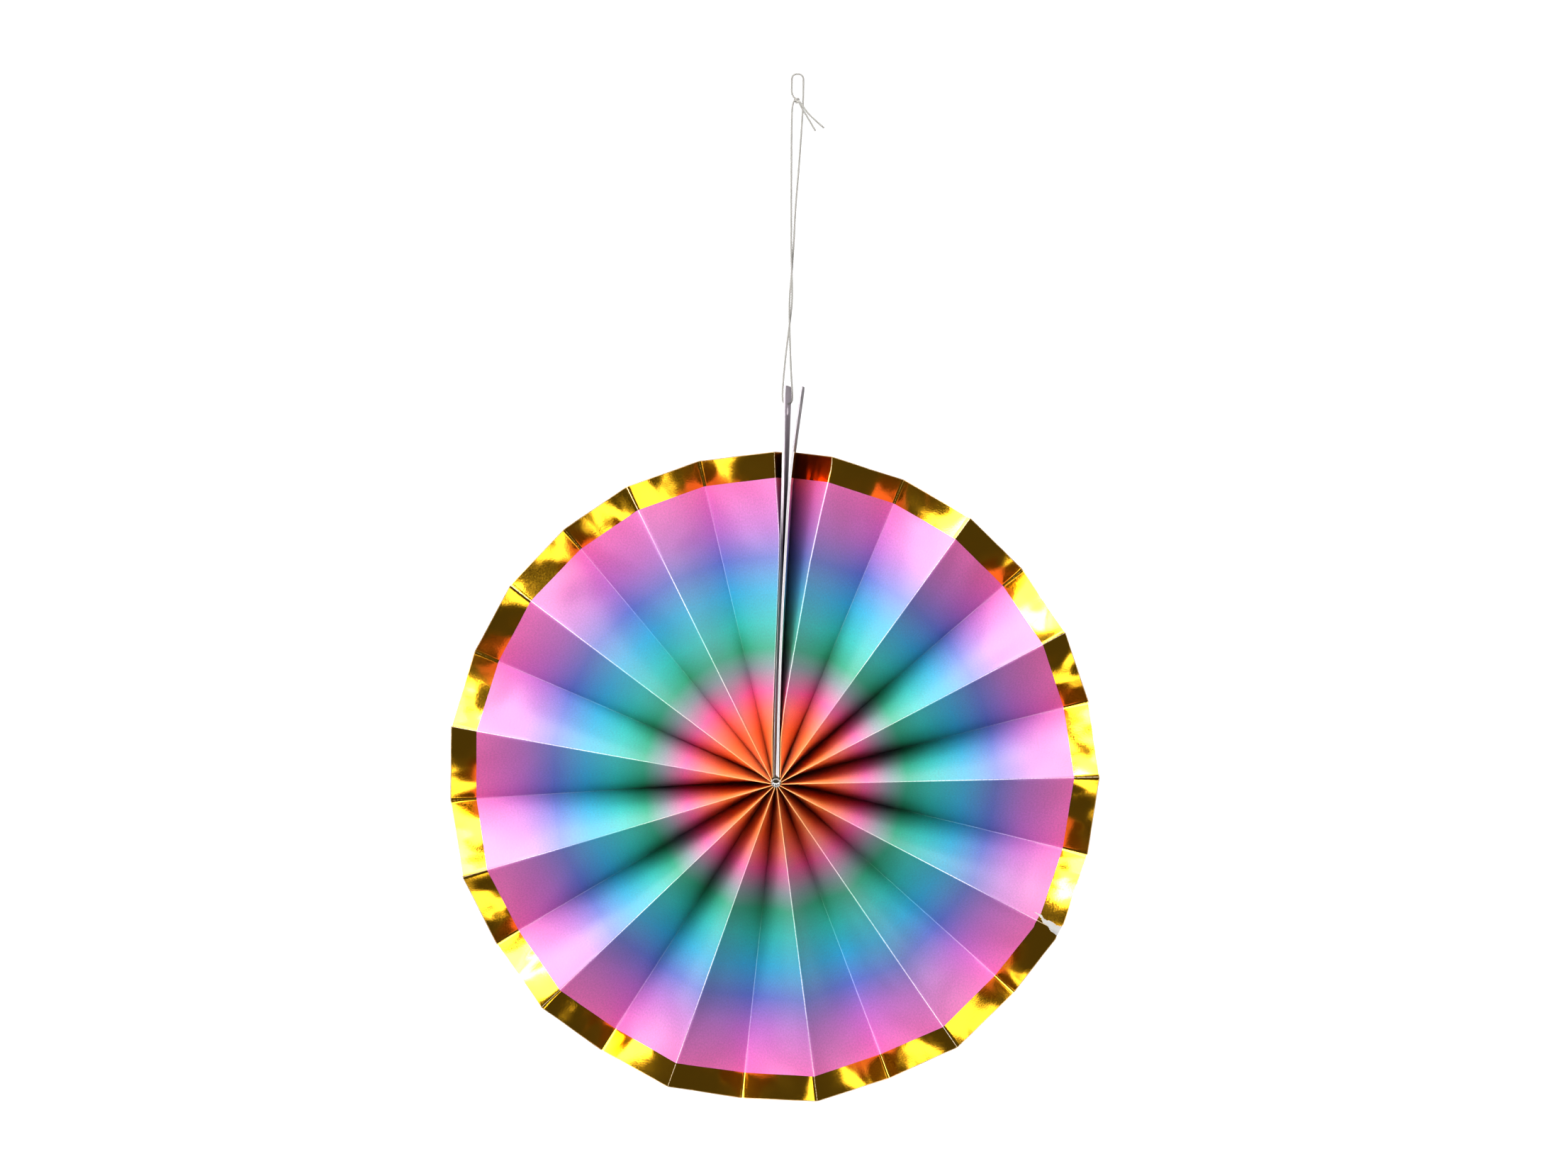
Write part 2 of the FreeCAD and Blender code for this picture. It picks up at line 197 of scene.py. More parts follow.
def laid_strands_tree():
    """Twists a few strands round each other along a line, as spun thread is plied."""
    tree = new_tree("laid strands", {
        "Strands": 3,
        "Strand radius": 0.15 * MM,
        "Twist radius": 0.17 * MM,
        "Turn length": 2.2 * MM,
        "Step": 0.3 * MM,
        "Sides": 6,
        "Material": None,
    })
    given = add_node(tree, "NodeGroupInput").outputs
    line = add_node(tree, "GeometryNodeMeshToCurve", {"Mesh": given["Geometry"]})
    even = add_node(tree, "GeometryNodeResampleCurve",
                    {"Curve": line, "Length": given["Step"]}, mode="LENGTH")
    copies = add_node(tree, "GeometryNodeDuplicateElements",
                      {"Geometry": even, "Amount": given["Strands"]}, domain="SPLINE")
    along = add_node(tree, "GeometryNodeSplineParameter")
    turns = add_node(tree, "ShaderNodeMath", {0: along.outputs["Length"], 1: given["Turn length"]},
                     operation="DIVIDE")
    own = add_node(tree, "ShaderNodeMath", {0: copies.outputs["Duplicate Index"], 1: given["Strands"]},
                   operation="DIVIDE")
    whole = add_node(tree, "ShaderNodeMath", {0: turns, 1: own}, operation="ADD")
    angle = add_node(tree, "ShaderNodeMath", {0: whole, 1: math.tau}, operation="MULTIPLY")
    normal = add_node(tree, "GeometryNodeInputNormal")
    tangent = add_node(tree, "GeometryNodeInputTangent")
    way = add_node(tree, "ShaderNodeVectorRotate",
                   {"Vector": normal, "Axis": tangent, "Angle": angle}, rotation_type="AXIS_ANGLE")
    offset = add_node(tree, "ShaderNodeVectorMath",
                      {0: way, "Scale": given["Twist radius"]}, operation="SCALE")
    moved = add_node(tree, "GeometryNodeSetPosition", {"Geometry": copies, "Offset": offset})
    ring = add_node(tree, "GeometryNodeCurvePrimitiveCircle",
                    {"Resolution": given["Sides"], "Radius": given["Strand radius"]})
    tube = add_node(tree, "GeometryNodeCurveToMesh",
                    {"Curve": moved, "Profile Curve": ring, "Fill Caps": True})
    smooth = add_node(tree, "GeometryNodeSetShadeSmooth", {"Geometry": tube})
    real = add_node(tree, "GeometryNodeRealizeInstances", {"Geometry": smooth})
    finished = add_node(tree, "GeometryNodeSetMaterial",
                        {"Geometry": real, "Material": given["Material"]})
    add_node(tree, "NodeGroupOutput", {0: finished})
    return tree


# ---- Finishes ----
def bleached_cotton():
    """Spun cotton, bleached: soft white, dull, with shade between its plies."""
    material = new_material("bleached_cotton_thread")
    tree = material.node_tree
    place_on = add_node(tree, "ShaderNodeTexCoord")
    # Tufts of fibre about 0.3 mm across.
    fuzz = add_node(tree, "ShaderNodeTexNoise",
                    {"Vector": place_on.outputs["Object"], "Scale": 1 / (0.3 * MM), "Detail": 2.0})
    tint = add_node(tree, "ShaderNodeMix", {0: fuzz.outputs["Fac"], 6: linear("8f8c88"),
                                            7: linear("c9c6c0")}, data_type="RGBA")
    raised = add_node(tree, "ShaderNodeBump", {"Strength": 0.5, "Distance": 0.05 * MM,
                                               "Height": fuzz.outputs["Fac"]})
    shader = add_node(tree, "ShaderNodeBsdfPrincipled", {"Base Color": tint.outputs[2], "Roughness": 0.85,
                       "Specular IOR Level": 0.25, "Sheen Weight": 0.3, "Sheen Roughness": 0.5,
                       "Normal": raised})
    add_node(tree, "ShaderNodeOutputMaterial", {"Surface": shader})
    return material


def fibrous_stock(name, tooth_mm, cloud_mm, cloud_detail, shade, pale, relief, relief_mm, roughness,
                  gloss):
    """Matt stock, with fibre clumps and a slower unevenness as wide as the sizes given."""
    material = new_material(name)
    tree = material.node_tree
    place_on = add_node(tree, "ShaderNodeTexCoord")
    tooth = add_node(tree, "ShaderNodeTexNoise",
                     {"Vector": place_on.outputs["Object"], "Scale": 1 / (tooth_mm * MM), "Detail": 3.0})
    cloud = add_node(tree, "ShaderNodeTexNoise",
                     {"Vector": place_on.outputs["Object"], "Scale": 1 / (cloud_mm * MM),
                      "Detail": cloud_detail})
    both = add_node(tree, "ShaderNodeMath", {0: tooth.outputs["Fac"], 1: cloud.outputs["Fac"]},
                    operation="MULTIPLY")
    tint = add_node(tree, "ShaderNodeMix", {0: both, 6: linear(shade), 7: linear(pale)}, data_type="RGBA")
    raised = add_node(tree, "ShaderNodeBump", {"Strength": relief, "Distance": relief_mm * MM,
                                               "Height": tooth.outputs["Fac"]})
    shader = add_node(tree, "ShaderNodeBsdfPrincipled",
                      {"Base Color": tint.outputs[2], "Roughness": roughness,
                       "Specular IOR Level": gloss, "Normal": raised})
    add_node(tree, "ShaderNodeOutputMaterial", {"Surface": shader})
    return material


def white_board():
    """Bleached folding board for the end cards: matt white with a fine tooth."""
    return fibrous_stock("bleached_board", tooth_mm=0.6, cloud_mm=12, cloud_detail=1.0, shade="c2bcc1",
                         pale="efebee", relief=0.25, relief_mm=0.05, roughness=0.7, gloss=0.35)


def paper_back():
    """The paper's unprinted side and its cut edges: uncoated, white and fully matt."""
    return fibrous_stock("uncoated_paper", tooth_mm=0.5, cloud_mm=6, cloud_detail=2.0, shade="e3e2e0",
                         pale="faf9f6", relief=0.3, relief_mm=0.04, roughness=0.85, gloss=0.3)


def acrylic_adhesive():
    """Clear acrylic transfer adhesive: milky, soft and slightly glossy."""
    material = new_material("acrylic_adhesive")
    tree = material.node_tree
    place_on = add_node(tree, "ShaderNodeTexCoord")
    ripple = add_node(tree, "ShaderNodeTexNoise",
                      {"Vector": place_on.outputs["Object"], "Scale": 1 / (3 * MM), "Detail": 2.0})
    tint = add_node(tree, "ShaderNodeMix", {0: ripple.outputs["Fac"], 6: linear("dfdccf"),
                                            7: linear("f0eee6")}, data_type="RGBA")
    shader = add_node(tree, "ShaderNodeBsdfPrincipled",
                      {"Base Color": tint.outputs[2], "Roughness": 0.35, "IOR": 1.47})
    add_node(tree, "ShaderNodeOutputMaterial", {"Surface": shader})
    return material


# The print, by how far in from the rim each colour is at its fullest.
inks_mm = [
    (8.0, "e055aa"),    # pink under the foil
    (22.0, "b060b8"),   # lilac
    (32.0, "6070c0"),   # blue
    (42.0, "10a8cc"),   # cyan
    (52.0, "00bcb4"),   # teal
    (60.0, "10ac84"),   # green
    (66.0, "98a0a8"),   # grey between the two halves of the print
    (73.0, "f070b4"),   # pink
    (79.0, "fa8a78"),   # coral
    (85.0, "f88a20"),   # orange
    (100.0, "f8a828"),  # golden, at the middle
]
ink_span_mm = 100.0
painted_shade_height_mm = 102.0     # from the hub to where the painted shade on the left card's edge has passed the rim
foil_width_mm = 8.0
pleat_width_mm = 27.0
sheet_width_mm = 99.8       # from the rim to the inner edge
torn_ridge = 5              # counted clockwise from the cards
# The torn patch's two edges: how far outward from the foil's inner edge, and how far clockwise
# of the ridge, in millimetres on the paper.
torn_upper_mm = [(-2.5, -2.3), (-2.05, -2.3), (0.5, -2.3), (1.7, -1.6), (3.0, -1.5), (3.9, -1.9),
                 (5.1, -1.7), (6.3, -1.5), (9.5, -2.3)]
torn_lower_mm = [(-2.5, -2.25), (-2.05, -2.2), (-0.2, -1.8), (1.0, -1.25), (2.0, -0.15),
                 (4.1, 0.05), (5.15, 0.95), (6.6, 1.35), (9.5, 1.75)]
torn_from_mm, torn_to_mm = -2.5, 9.5    # how far the two edges are drawn, outward
torn_start_mm = -2.05                   # where the patch begins
torn_side_mm = 4.0                      # the most an edge lies to either side of the ridge


def place_on_sheet(tree):
    """Where a place lies on the flat sheet, then how far across it is and how far from the rim."""
    laid = add_node(tree, "ShaderNodeAttribute", attribute_name="laid_flat").outputs["Vector"]
    parts = add_node(tree, "ShaderNodeSeparateXYZ", {0: laid})
    return laid, parts.outputs[0], parts.outputs[1]


def fold_lines_shown(tree, laid, across, worn_to_mm):
    """How worn the paper is: 1 on a ridge's line and less on a valley's, broken up by rubbing."""
    from_ridge = add_node(tree, "ShaderNodeMath", {0: across, 1: pleat_width_mm}, operation="PINGPONG")
    ridge = add_node(tree, "ShaderNodeMapRange", {"Value": from_ridge, "From Min": worn_to_mm * 0.35,
                      "From Max": worn_to_mm, "To Min": 1.0, "To Max": 0.0},
                     interpolation_type="SMOOTHSTEP")
    valley = add_node(tree, "ShaderNodeMapRange",
                      {"Value": from_ridge, "From Min": pleat_width_mm - worn_to_mm,
                       "From Max": pleat_width_mm - worn_to_mm * 0.2, "To Min": 0.0, "To Max": 0.35},
                      interpolation_type="SMOOTHSTEP")
    shown = add_node(tree, "ShaderNodeMath", {0: ridge, 1: valley}, operation="MAXIMUM")
    # Some lengths of a fold are worn more than others, over about 30 mm.
    long_way = add_node(tree, "ShaderNodeVectorMath", {0: laid, 1: (1 / 9, 1 / 30, 1.0)},
                        operation="MULTIPLY")
    uneven = add_node(tree, "ShaderNodeTexNoise", {"Vector": long_way, "Scale": 1.0, "Detail": 1.0})
    share = add_node(tree, "ShaderNodeMapRange", {"Value": uneven.outputs["Fac"], "From Min": 0.35,
                                                  "From Max": 0.6, "To Min": 0.25, "To Max": 1.0})
    return add_node(tree, "ShaderNodeMath", {0: shown, 1: share}, operation="MULTIPLY").outputs[0]


def torn_patch(tree, across, from_rim, wobble):
    """1 where the foil and print are torn off at the worn ridge, down to the bare paper."""
    outward = add_node(tree, "ShaderNodeMath", {0: foil_width_mm, 1: from_rim}, operation="SUBTRACT")
    rough = add_node(tree, "ShaderNodeMath", {0: wobble, 1: 0.9, 2: -0.45}, operation="MULTIPLY_ADD")
    aside = add_node(tree, "ShaderNodeMath", {0: across, 1: 2 * torn_ridge * pleat_width_mm},
                     operation="SUBTRACT")
    place_across = add_node(tree, "ShaderNodeMath", {0: aside, 1: rough}, operation="ADD")
    edges = []
    for points in (torn_upper_mm, torn_lower_mm):
        share = add_node(tree, "ShaderNodeMapRange",
                         {"Value": outward, "From Min": torn_from_mm, "From Max": torn_to_mm})
        line = add_node(tree, "ShaderNodeFloatCurve", {"Value": share})
        curve = line.mapping.curves[0]
        placed = [((out - torn_from_mm) / (torn_to_mm - torn_from_mm),
                   (side + torn_side_mm) / (2 * torn_side_mm)) for out, side in points]
        for _ in placed[2:]:
            curve.points.new(0.5, 0.5)
        for point, at in zip(curve.points, placed):
            point.location = at
            point.handle_type = "VECTOR"
        line.mapping.update()
        edges.append(add_node(tree, "ShaderNodeMath", {0: line, 1: 2 * torn_side_mm, 2: -torn_side_mm},
                              operation="MULTIPLY_ADD").outputs[0])
    inside = []
    for low, high in ((edges[0], place_across.outputs[0]), (place_across.outputs[0], edges[1])):
        gap = add_node(tree, "ShaderNodeMath", {0: high, 1: low}, operation="SUBTRACT")
        inside.append(add_node(tree, "ShaderNodeMapRange",
                               {"Value": gap, "From Min": -0.05, "From Max": 0.05}).outputs[0])
    begun = add_node(tree, "ShaderNodeMath", {0: outward, 1: torn_start_mm}, operation="GREATER_THAN")
    both = add_node(tree, "ShaderNodeMath", {0: inside[0], 1: inside[1]}, operation="MULTIPLY")
    return add_node(tree, "ShaderNodeMath", {0: both, 1: begun}, operation="MULTIPLY").outputs[0]


def ink_rings(tree, from_rim):
    """The print's rings of colour, by distance from the rim in millimetres."""
    share = add_node(tree, "ShaderNodeMapRange", {"Value": from_rim, "From Max": ink_span_mm})
    ramp = add_node(tree, "ShaderNodeValToRGB", {0: share})
    ramp.color_ramp.interpolation = "LINEAR"
    stops = ramp.color_ramp.elements
    for stop, (at, ink) in zip(stops, (inks_mm[0], inks_mm[-1])):
        stop.position, stop.color = at / ink_span_mm, linear(ink)
    for at, ink in inks_mm[1:-1]:
        stops.new(at / ink_span_mm).color = linear(ink)
    return ramp


def painted_shade_edge_board(card):
    """The left end card: the same board, its front edge painted in the print's rings darkened
    as painted shade of printed paper in the recess, up to near the rim, and bare above that."""
    material = new_material("print_and_painted_shade_board")
    tree = material.node_tree
    place_on = add_node(tree, "ShaderNodeTexCoord")
    tooth = add_node(tree, "ShaderNodeTexNoise",
                     {"Vector": place_on.outputs["Object"], "Scale": 1 / (0.6 * MM), "Detail": 3.0})
    # Height above the hub, in the card's own measure.
    to_card = card.matrix_world.inverted()
    upright = to_card.to_3x3() @ Vector((0, 0, 1))
    low, high = (upright.dot(to_card @ place((0, 0, at))) for at in (0, painted_shade_height_mm))
    height = add_node(tree, "ShaderNodeVectorMath",
                      {0: place_on.outputs["Object"], 1: tuple(upright)}, operation="DOT_PRODUCT")
    from_rim = add_node(tree, "ShaderNodeMapRange",
                        {"Value": height.outputs["Value"], "From Min": low, "From Max": high,
                         "To Min": painted_shade_height_mm, "To Max": 0.0})
    ramp = ink_rings(tree, from_rim.outputs[0])
    # Painted shade: the print's rings multiplied by a dark grey, for printed paper in the recess's
    # shadow.
    painted_shade = add_node(tree, "ShaderNodeMix", {0: 1.0, 6: ramp, 7: linear("5c5458")},
                      data_type="RGBA", blend_type="MULTIPLY")
    bare = add_node(tree, "ShaderNodeMix", {0: tooth.outputs["Fac"], 6: linear("cfc4cc"),
                                            7: linear("ebe4e9")}, data_type="RGBA")
    # The painted shade fades out between 12 and 28 mm from the rim.
    upwards = add_node(tree, "ShaderNodeMapRange", {"Value": from_rim, "From Min": 12.0, "From Max": 28.0,
                        "To Min": 0.0, "To Max": 0.92})
    tint = add_node(tree, "ShaderNodeMix", {0: upwards, 6: bare.outputs[2],
                                            7: painted_shade.outputs[2]}, data_type="RGBA")
    shader = add_node(tree, "ShaderNodeBsdfPrincipled",
                      {"Base Color": tint.outputs[2], "Roughness": 0.6, "Specular IOR Level": 0.3})
    add_node(tree, "ShaderNodeOutputMaterial", {"Surface": shader})
    return material


def printed_paper():
    """Offset-printed paper with a satin face: strong colour in the shade, pale where it is lit."""
    material = new_material("offset_printed_paper")
    tree = material.node_tree
    laid, across, from_rim = place_on_sheet(tree)
    ramp = ink_rings(tree, from_rim)
    # Paper tooth about 0.6 mm across shows through the ink as a faint mottle.
    tooth = add_node(tree, "ShaderNodeTexNoise", {"Vector": laid, "Scale": 1 / 0.6, "Detail": 3.0})
    mottle = add_node(tree, "ShaderNodeMapRange", {"Value": tooth.outputs["Fac"], "From Min": 0.3,
                                                   "From Max": 0.7, "To Min": 0.84, "To Max": 1.1})
    ink = add_node(tree, "ShaderNodeMix", {0: 1.0, 6: ramp,
                                           7: mottle}, data_type="RGBA", blend_type="MULTIPLY")
    # The ink is rubbed off along the folds: white further out, and golden where orange is left.
    rubbed = fold_lines_shown(tree, laid, across, 0.2)
    inwards = add_node(tree, "ShaderNodeMapRange", {"Value": from_rim, "From Min": 60.0,
                                                    "From Max": 85.0})
    bare = add_node(tree, "ShaderNodeMix", {0: inwards, 6: linear("fbf1f5"),
                                            7: linear("ffd27c")}, data_type="RGBA")
    breaks = add_node(tree, "ShaderNodeMapRange", {"Value": tooth.outputs["Fac"], "From Min": 0.35,
                                                   "From Max": 0.55, "To Min": 0.45, "To Max": 0.95})
    wear = add_node(tree, "ShaderNodeMath", {0: rubbed, 1: breaks}, operation="MULTIPLY")
    worn = add_node(tree, "ShaderNodeMix", {0: wear, 6: ink.outputs[2],
                                            7: bare.outputs[2]}, data_type="RGBA")
    torn = torn_patch(tree, across, from_rim, tooth.outputs["Fac"])
    # The torn patch shows bare paper in a light grey, darker than the paper's white: painted shade on the
    # torn facet.
    colour = add_node(tree, "ShaderNodeMix", {0: torn, 6: worn.outputs[2],
                                              7: linear("bcbab9")}, data_type="RGBA")
    raised = add_node(tree, "ShaderNodeBump", {"Strength": 0.2, "Distance": 0.03 * MM,
                                               "Height": tooth.outputs["Fac"]})
    # The paler inks further out are chalkier.
    chalk = add_node(tree, "ShaderNodeMapRange", {"Value": from_rim, "From Min": 55.0,
                                                  "From Max": 78.0, "To Min": 0.06, "To Max": 0.0})
    shader = add_node(tree, "ShaderNodeBsdfPrincipled",
                      {"Base Color": colour.outputs[2], "IOR": 1.9, "Roughness": 0.68,
                       "Specular IOR Level": 0.8, "Sheen Weight": chalk,
                       "Sheen Roughness": 0.5, "Normal": raised})
    add_node(tree, "ShaderNodeOutputMaterial", {"Surface": shader})
    return material


def stamped_foil():
    """Hot-stamped metallised foil on paper: yellow gold, mirror-like, finely pitted by the paper."""
    material = new_material("hot_stamped_gold_foil")
    tree = material.node_tree
    laid, across, from_rim = place_on_sheet(tree)
    pits = add_node(tree, "ShaderNodeTexNoise", {"Vector": laid, "Scale": 1 / 0.5, "Detail": 3.0})
    # Handling marks about 16 mm long and 8 mm wide lie slantwise.
    slant = add_node(tree, "ShaderNodeMapping", {"Vector": laid,
                                                 "Rotation": (0, 0, 0.35), "Scale": (1.0, 0.5, 1.0)})
    marks = add_node(tree, "ShaderNodeTexNoise", {"Vector": slant, "Scale": 1 / 8.0, "Detail": 0.6})
    sum_of = add_node(tree, "ShaderNodeMath", {0: marks.outputs["Fac"], 1: 48.0, 2: pits.outputs["Fac"]},
                      operation="MULTIPLY_ADD")
    raised = add_node(tree, "ShaderNodeBump", {"Strength": 0.5, "Distance": 0.03 * MM, "Height": sum_of})
    rubbed = fold_lines_shown(tree, laid, across, 0.18)
    breaks = add_node(tree, "ShaderNodeMapRange", {"Value": pits.outputs["Fac"], "From Min": 0.35,
                                                   "From Max": 0.5})
    wear = add_node(tree, "ShaderNodeMath", {0: rubbed, 1: breaks}, operation="MULTIPLY")
    edge = add_node(tree, "ShaderNodeMapRange", {"Value": from_rim, "From Min": 0.1, "From Max": 0.3,
                                                 "To Min": 0.6, "To Max": 0.0})
    torn = torn_patch(tree, across, from_rim, pits.outputs["Fac"])
    chipped = add_node(tree, "ShaderNodeMath", {0: wear, 1: edge}, operation="MAXIMUM")
    bare = add_node(tree, "ShaderNodeMath", {0: chipped, 1: torn}, operation="MAXIMUM")
    # Where the foil is chipped along folds and at the rim, or torn off, bare paper shows in a light grey;
    # on the torn patch that grey is painted shade on white paper.
    colour = add_node(tree, "ShaderNodeMix", {0: bare, 6: linear("f7bd34"),
                                              7: linear("c4c2c0")}, data_type="RGBA")
    metal = add_node(tree, "ShaderNodeMath", {0: 1.0, 1: bare}, operation="SUBTRACT", use_clamp=True)
    gloss = add_node(tree, "ShaderNodeMapRange", {"Value": pits.outputs["Fac"], "From Min": 0.3,
                                                  "From Max": 0.7, "To Min": 0.11, "To Max": 0.22})
    rough = add_node(tree, "ShaderNodeMath", {0: bare, 1: 0.55, 2: gloss}, operation="MULTIPLY_ADD")
    shader = add_node(tree, "ShaderNodeBsdfPrincipled",
                      {"Base Color": colour.outputs[2], "Metallic": metal,
                       "Roughness": rough, "Normal": raised})
    add_node(tree, "ShaderNodeOutputMaterial", {"Surface": shader})
    return material


cotton = bleached_cotton()
board = white_board()
adhesive = acrylic_adhesive()
plain_paper = paper_back()
print_face = printed_paper()
foil = stamped_foil()


# ---- Making the string ----
strands = laid_strands_tree()
string_values = {"Strands": 3, "Strand radius": 0.15 * MM, "Twist radius": 0.175 * MM,
                 "Turn length": 2.4 * MM, "Step": 0.3 * MM, "Sides": 6, "Material": cotton}

# A trefoil is the path of an overhand knot drawn tight.
knot_steps = 72
knot_size_mm = 0.25
knot_line = []
for n in range(knot_steps):
    t = math.tau * n / knot_steps
    knot_line.append(place(knot_centre_mm) + Vector((
        math.sin(t) + 2 * math.sin(2 * t), 1.1 * math.sin(3 * t),
        math.cos(t) - 2 * math.cos(2 * t))) * knot_size_mm * MM)
knot = made_real(with_tree(line_object("knot_line", knot_line, closed=True), strands, string_values),
                 "string_knot")
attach(knot, "root")

for side, route_mm, tube_length, carried in (("left", left_route_mm, 0.108, [knot]),
                                             ("right", right_route_mm, 0.1273, [])):
    centreline = smooth_line("string_line_" + side, [place(at) for at in route_mm])
    half = made_real(with_tree(line_object("strand_line_" + side, centreline), strands, string_values),
                     "string_" + side)
    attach(half, "root")
    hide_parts("hanging_string")


# ---- The folded sheet's lines, by the same rule as the model's ----
rim_radius_mm = 101.0
rim_shift_x_mm = -0.8
rim_shift_z_mm = 1.4
hub_radius_mm = 1.6
rim_forward_mm = 4.4
ridge_angles = [9.8, 36.3, 62.6, 89.0, 117.8, 145.6, 172.6,
                199.6, 226.2, 253.2, 279.8, 306.6, 333.2, 359.7]
hub_first_angle = 39.0
hub_last_angle = 325.0
first_ridge_path_mm = [(1.6, 1.3), (13.5, 1.5), (23.5, 2.6), (37.2, 4.9), (50.8, 7.3),
                       (69.0, 10.5), (85.0, 13.9), (99.6, 17.3)]
last_ridge_path_mm = [(1.6, -1.1), (14.0, -1.15), (24.0, -0.85), (37.5, -0.35), (51.0, 0.2),
                      (65.0, 0.75), (76.0, 1.05), (85.0, 0.5), (93.5, -0.1), (101.0, -0.45)]
stations = 49
card_width_mm = (card_high.y - card_low.y) / MM
cards_front_mm = -right_card_low.y / MM
beside_card_mm = 0.41       # from a card's middle to the middle of the paper glued on it
panel_columns = 12
sheet_rows = 100
fold_softness = 0.012       # of a panel's width, on each side of a fold
buckle_mm = 3.0             # at the noise's full swing; the panels themselves bow by under 1
paper_thickness_mm = 0.22
middle_radius_mm = 1.35     # the gathered paper behind the open middle
middle_back_mm = 12.0
middle_slot = 2             # whose finish the gathered middle takes
plain_shift = 2             # slots from the print to the plain paper, which is the last one
# Each card: its place at its inner end, its lean by height, its turn by height, and how far its
# front edge lies behind the right card's.
left_card_mm = (-0.25, [(2.0, 0.3), (30.0, 1.8), (50.0, 2.3), (76.0, 1.3), (125.0, 0.5)],
                [(2.0, 0.0), (50.0, 0.6), (90.0, 1.3), (125.0, 2.0)],
                (card_low.y - right_card_low.y) / MM)
right_card_mm = (0.42, [(2.0, 0.3), (30.0, 1.8), (60.0, 3.0), (86.0, 3.2), (102.0, 7.6), (125.0, 8.0)],
                 [(2.0, 0.0), (50.0, 0.6), (90.0, 0.8), (125.0, 0.9)], 0.0)


def between(table, at):
    """The value at a place in a list of (place, value), on straight lines between them."""
    low = table[0]
    for high in table[1:]:
        if at <= high[0]:
            break
        low = high
    share = (at - low[0]) / (high[0] - low[0]) if high[0] > low[0] else 0.0
    return low[1] + share * (high[1] - low[1])


def card_x(card, height):
    """How far right of the hub a card's front edge is at a height."""
    x, leans = card[:2]
    for (low, lean_low), (high, lean_high) in zip(leans, leans[1:]):
        top = min(height, high)
        if top <= low and low > leans[0][0]:
            break
        lean_top = lean_low + (lean_high - lean_low) * (top - low) / (high - low)
        x += (top - low) * math.tan(math.radians((lean_low + lean_top) / 2))
    return x


def beside_card(card, height, depth, offset):
    """A place depth behind the cards' front and offset to the right of a card's middle."""
    turn = between(card[2], height) * depth / card_width_mm
    return Vector((card_x(card, height) + turn + offset, depth - cards_front_mm, height))


def rim_point(angle):
    turn = math.radians(angle)
    reach = rim_radius_mm + rim_shift_x_mm * math.sin(turn) + rim_shift_z_mm * math.cos(turn)
    return reach * math.sin(turn), reach * math.cos(turn)


def pleat_depth(chord):
    return math.sqrt(pleat_width_mm ** 2 - chord ** 2)


def straight_fold(share, angle, hub_angle, is_ridge, panel_angle):
    turn = math.radians(hub_angle)
    x_hub, z_hub = hub_radius_mm * math.sin(turn), hub_radius_mm * math.cos(turn)
    x_rim, z_rim = rim_point(angle)
    x, z = x_hub + share * (x_rim - x_hub), z_hub + share * (z_rim - z_hub)
    distance = math.hypot(x, z)
    depth = pleat_depth(2 * distance * math.sin(panel_angle / 2))
    middle = -rim_forward_mm * (distance / rim_radius_mm) ** 2
    return Vector((x, middle + (-depth if is_ridge else depth) / 2, z))


def bent_ridge(path, height, valley):
    """A place on a ridge beside the cards, a pleat's width from the valley on the card."""
    x = between(path, height)
    z = math.sqrt(max(height ** 2 - x ** 2, hub_radius_mm ** 2)) if abs(x) > hub_radius_mm else height
    chord = math.hypot(x - valley.x, z - valley.z)
    return Vector((x, valley.y - pleat_depth(chord), z))


def fold_lines():
    """Each line across the sheet, clockwise from the right card, from the hub to the rim."""
    shares = [n / (stations - 1) for n in range(stations)]
    heights = [hub_radius_mm + share * (rim_point(0)[1] - hub_radius_mm) for share in shares]
    first_edge = [beside_card(right_card_mm, at, right_card_mm[3], beside_card_mm) for at in heights]
    first_valley = [beside_card(right_card_mm, at, pleat_width_mm, beside_card_mm) for at in heights]
    last_valley = [beside_card(left_card_mm, at, pleat_width_mm, -beside_card_mm) for at in heights]
    last_edge = [beside_card(left_card_mm, at, left_card_mm[3], -beside_card_mm) for at in heights]
    angles = []
    for angle, following in zip(ridge_angles, ridge_angles[1:]):
        angles += [angle, (angle + following) / 2]
    angles.append(ridge_angles[-1])
    panel_angle = math.radians(ridge_angles[-1] - ridge_angles[0]) / (2 * len(ridge_angles) - 2)
    hub_step = (hub_last_angle - hub_first_angle) / (len(angles) - 1)
    regular = [[straight_fold(share, angle, hub_first_angle + n * hub_step, n % 2 == 0, panel_angle)
                for share in shares] for n, angle in enumerate(angles)]
    regular[0] = [bent_ridge(first_ridge_path_mm, at, valley)
                  for at, valley in zip(heights, first_valley)]
    regular[-1] = [bent_ridge(last_ridge_path_mm, at, valley)
                   for at, valley in zip(heights, last_valley)]
    return [first_edge, first_valley] + regular + [last_valley, last_edge]


